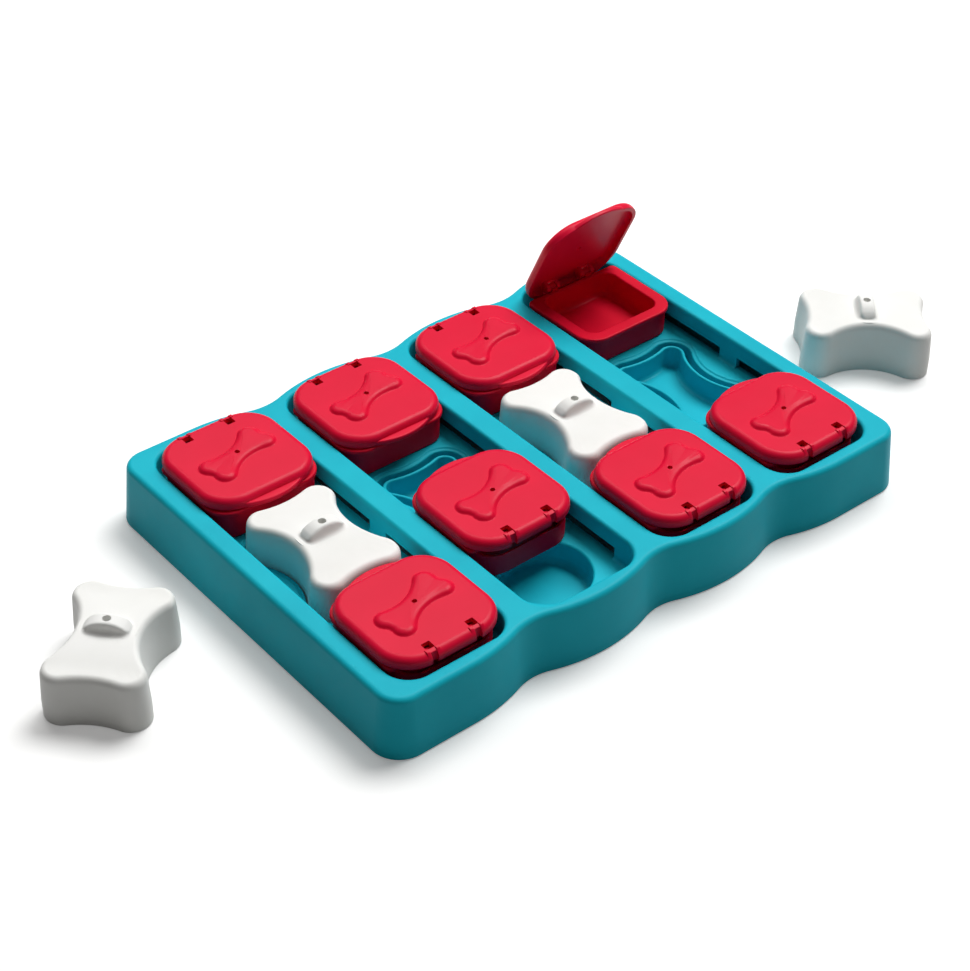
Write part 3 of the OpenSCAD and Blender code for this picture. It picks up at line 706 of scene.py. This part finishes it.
# ---------- pieces ----------
decks = [f"deck_{i}{row}" for i in range(1, LANES + 1) for row in "ab"]
place(board(), "board_moulded", Matrix(), teal, "board", ["board_skirt"] + decks)
channel, well, seat = lane_channel(), end_well(), cover_seat()
cup, lid, cover = box_cup(), box_lid(), bone_cover()
half_turn = Matrix.Rotation(math.pi, 4, "Z")
for i in range(1, LANES + 1):
    at = shift(lane_x(i), 0, 0)
    place(channel, f"lane_channel_{i}_moulded", at, teal, "board", [f"lane_channel_{i}", f"lane_floor_{i}"])
    place(seat, f"cover_seat_{i}_moulded", at, teal, "board", [f"cover_seat_{i}", f"seat_rim_{i}"])
    for row, sign in (("a", 1), ("b", -1)):
        tag = f"{i}{row}"
        y = sign * HOME_Y
        place(well, f"end_well_{tag}_moulded", at @ shift(0, y, 0), teal, "board", [f"end_well_{tag}"])
        if tag == "2b":
            y += SLID
        box = at @ shift(0, y, 0) @ (half_turn if row == "a" else Matrix())
        place(cup, f"box_cup_{tag}_moulded", box, red, f"box_{tag}", [f"box_cup_{tag}"])
        if tag == "4a":
            box = (box @ shift(0, -HINGE_BACK, AXIS_Z) @ Matrix.Rotation(math.radians(OPEN_ANGLE), 4, "X")
                   @ shift(0, HINGE_BACK, -AXIS_Z))
        place(lid, f"box_lid_{tag}_moulded", box, lid_red, f"lid_{tag}", [f"box_lid_{tag}"],
              slanted=tag == "4a")


def loose(edge, spot):
    """Place of a cover on the ground, past an edge of the board."""
    past, y, degrees = spot
    return shift(edge + past, y, 0) @ Matrix.Rotation(math.radians(degrees), 4, "Z")


spots = {1: shift(lane_x(1), 0, COVER_Z), 3: shift(lane_x(3), 0, COVER_Z),
         2: loose(-HALF_X, LOOSE_LEFT), 4: loose(HALF_X, LOOSE_RIGHT)}
for i, at in spots.items():
    place(cover, f"bone_cover_{i}_moulded", at, white, f"cover_{i}", [f"bone_cover_{i}", f"cover_grip_{i}"],
          slanted=i in (2, 4))

# ---------- floor, light, camera ----------
# the floor's shade for the camera and for bounced light, and the glow that whitens it
SEEN, BOUNCE, GLOW = 0.93, 0.50, 0.22
FLOOR_SIZE, FLOOR_DROP = 8, 0.0002
WORLD_LIGHT = 0.10
LAMP_AIM = (0, 0, 0.02)


def studio_floor():
    """White to the camera and to reflections; under the board the added glow stops."""
    mat = bpy.data.materials.new("studio_floor")
    mat.use_nodes = True
    nt = mat.node_tree
    nt.nodes.clear()

    def math_node(kind, a, b=None):
        n = nt.nodes.new("ShaderNodeMath")
        n.operation = kind
        for k, v in enumerate((a, b)):
            if v is None:
                continue
            if isinstance(v, float):
                n.inputs[k].default_value = v
            else:
                nt.links.new(v, n.inputs[k])
        return n.outputs[0]

    def lambert(grey):
        n = nt.nodes.new("ShaderNodeBsdfDiffuse")
        n.inputs["Color"].default_value = (grey, grey, grey * 0.99, 1)
        return n.outputs[0]
    path = nt.nodes.new("ShaderNodeLightPath")
    seen = math_node("MAXIMUM", path.outputs["Is Camera Ray"], path.outputs["Is Glossy Ray"])
    mix = nt.nodes.new("ShaderNodeMixShader")
    nt.links.new(seen, mix.inputs[0])
    nt.links.new(lambert(BOUNCE), mix.inputs[1])
    nt.links.new(lambert(SEEN), mix.inputs[2])
    coord = nt.nodes.new("ShaderNodeTexCoord")
    split = nt.nodes.new("ShaderNodeSeparateXYZ")
    nt.links.new(coord.outputs["Object"], split.inputs[0])
    out_x = math_node("GREATER_THAN", math_node("ABSOLUTE", split.outputs[0]), (HALF_X - 4) * MM)
    out_y = math_node("GREATER_THAN", math_node("ABSOLUTE", split.outputs[1]), (HALF_Y - 9) * MM)
    open_floor = math_node("MULTIPLY", seen, math_node("MAXIMUM", out_x, out_y))
    glow = nt.nodes.new("ShaderNodeEmission")
    nt.links.new(math_node("MULTIPLY", open_floor, GLOW), glow.inputs["Strength"])
    add = nt.nodes.new("ShaderNodeAddShader")
    nt.links.new(mix.outputs[0], add.inputs[0])
    nt.links.new(glow.outputs[0], add.inputs[1])
    out = nt.nodes.new("ShaderNodeOutputMaterial")
    nt.links.new(add.outputs[0], out.inputs["Surface"])
    return mat


bpy.ops.mesh.primitive_plane_add(size=FLOOR_SIZE, location=(0, 0, -FLOOR_DROP))
floor = bpy.context.object
floor.name = "studio_floor"
floor.data.materials.append(studio_floor())

world = bpy.data.worlds.new("studio")
bpy.context.scene.world = world
world.use_nodes = True
wt = world.node_tree
wt.nodes.clear()
wout = wt.nodes.new("ShaderNodeOutputWorld")
soft = wt.nodes.new("ShaderNodeBackground")
soft.inputs["Color"].default_value = (1.0, 0.98, 0.96, 1)
soft.inputs["Strength"].default_value = WORLD_LIGHT
plain = wt.nodes.new("ShaderNodeBackground")
plain.inputs["Color"].default_value = (1, 1, 1, 1)
plain.inputs["Strength"].default_value = 1.0
wpath = wt.nodes.new("ShaderNodeLightPath")
wmix = wt.nodes.new("ShaderNodeMixShader")
wt.links.new(wpath.outputs["Is Camera Ray"], wmix.inputs[0])
wt.links.new(soft.outputs[0], wmix.inputs[1])
wt.links.new(plain.outputs[0], wmix.inputs[2])
wt.links.new(wmix.outputs[0], wout.inputs[0])


def lamp(name, place_at, size, power):
    """Round area lamp turned to the board."""
    data = bpy.data.lights.new(name, "AREA")
    data.shape = "DISK"
    data.size = size
    data.energy = power
    obj = bpy.data.objects.new(name, data)
    bpy.context.scene.collection.objects.link(obj)
    obj.location = place_at
    obj.rotation_euler = (Vector(LAMP_AIM) - Vector(place_at)).to_track_quat("-Z", "Y").to_euler()


lamp("key", (2.3, 0.5, 3.8), 2.6, 172)
lamp("top", (0.45, 1.3, 1.97), 1.5, 19)

# the camera that fits the board's corners, lanes and holes in the photograph
AZ, EL, ROLL = math.radians(-40.027), math.radians(38.340), math.radians(1.0136)
CAM_RIGHT, CAM_UP, CAM_BACK, CAM_Z = -14.59, -25.94, 1048.3, 40.273
PHOTO_W, FOCAL_PX, SENSOR = 970, 2147.54, 36

cam_data = bpy.data.cameras.new("camera")
cam = bpy.data.objects.new("camera", cam_data)
bpy.context.scene.collection.objects.link(cam)
bpy.context.scene.camera = cam
back = Vector((math.sin(AZ) * math.cos(EL), -math.cos(AZ) * math.cos(EL), math.sin(EL)))
right = Vector((math.cos(AZ), math.sin(AZ), 0))
up = back.cross(right)
right, up = (right * math.cos(ROLL) + up * math.sin(ROLL), up * math.cos(ROLL) - right * math.sin(ROLL))
centre = (right * CAM_RIGHT + up * CAM_UP + back * CAM_BACK + Vector((0, 0, CAM_Z))) * MM
turn = Matrix((right, up, back)).transposed().to_4x4()
cam.matrix_world = Matrix.Translation(centre) @ turn
cam_data.sensor_fit = "HORIZONTAL"
cam_data.sensor_width = SENSOR
cam_data.lens = FOCAL_PX / PHOTO_W * SENSOR
cam_data.clip_start = 0.05
cam_data.clip_end = 20

bpy.context.scene.view_settings.view_transform = "Standard"
